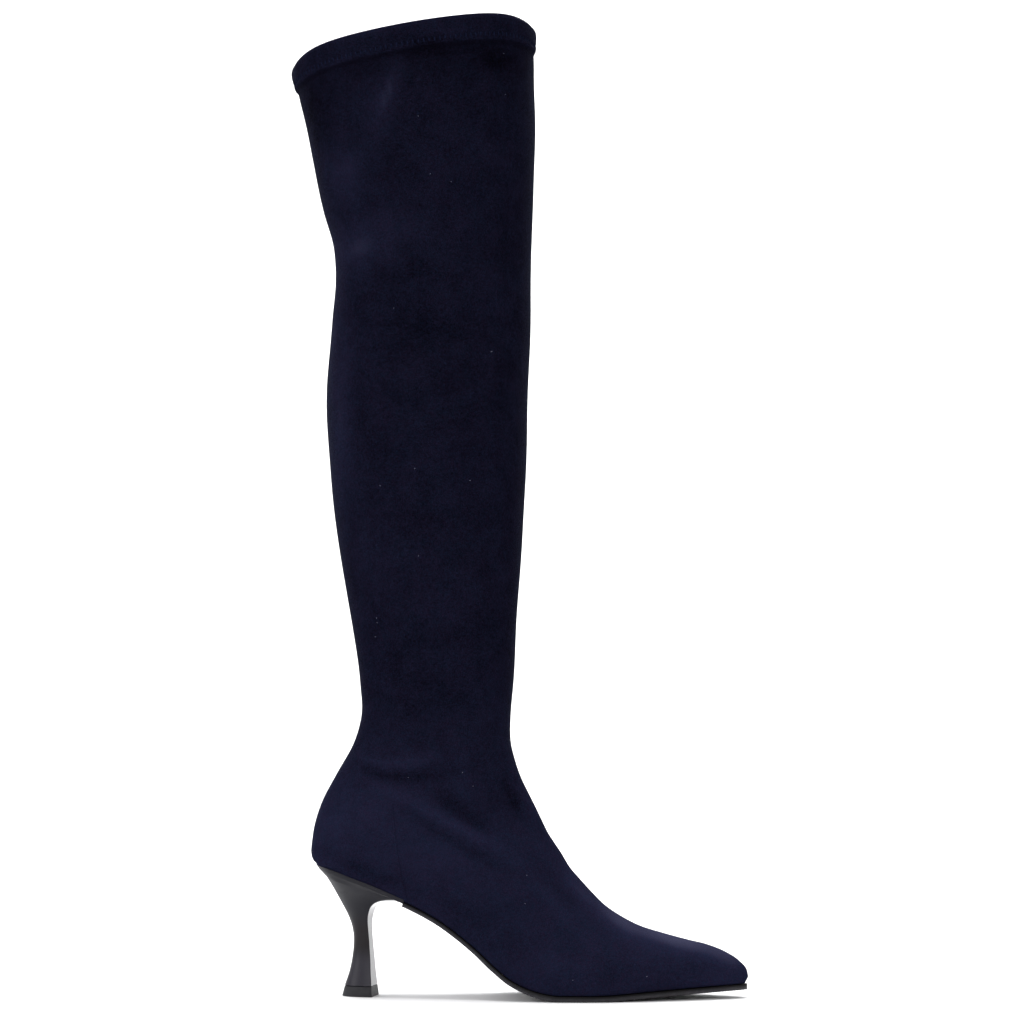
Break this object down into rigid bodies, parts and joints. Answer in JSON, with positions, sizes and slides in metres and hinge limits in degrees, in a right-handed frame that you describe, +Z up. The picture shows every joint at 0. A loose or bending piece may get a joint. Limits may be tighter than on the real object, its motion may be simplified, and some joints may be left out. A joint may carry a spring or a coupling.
{
  "type": "thigh high boot",
  "caption": "Pull-on over-the-knee boot for the right foot: hollow stretch suede upper with pointed toe, thin outsole, tall waisted heel with rubber top lift.",
  "frame": {"origin": "on the floor under the ball of the foot, on the boot's middle line", "axes": "+X to the toe, +Y to the inner side of the leg, +Z up"},
  "size_m": [0.2635, 0.1244, 0.5596],
  "materials": {
    "suede": "navy brushed suede cloth",
    "sock_lining": "dark smooth lining",
    "sole": "dark smooth sole with a buffed edge",
    "heel_gloss": "high gloss black",
    "lift_rubber": "satin black rubber"
  },
  "bodies": {
    "root": {"upper": "suede", "insole": "sock_lining", "outsole": "sole", "heel": "heel_gloss", "top_lift": "lift_rubber"}
  },
  "joints": []
}
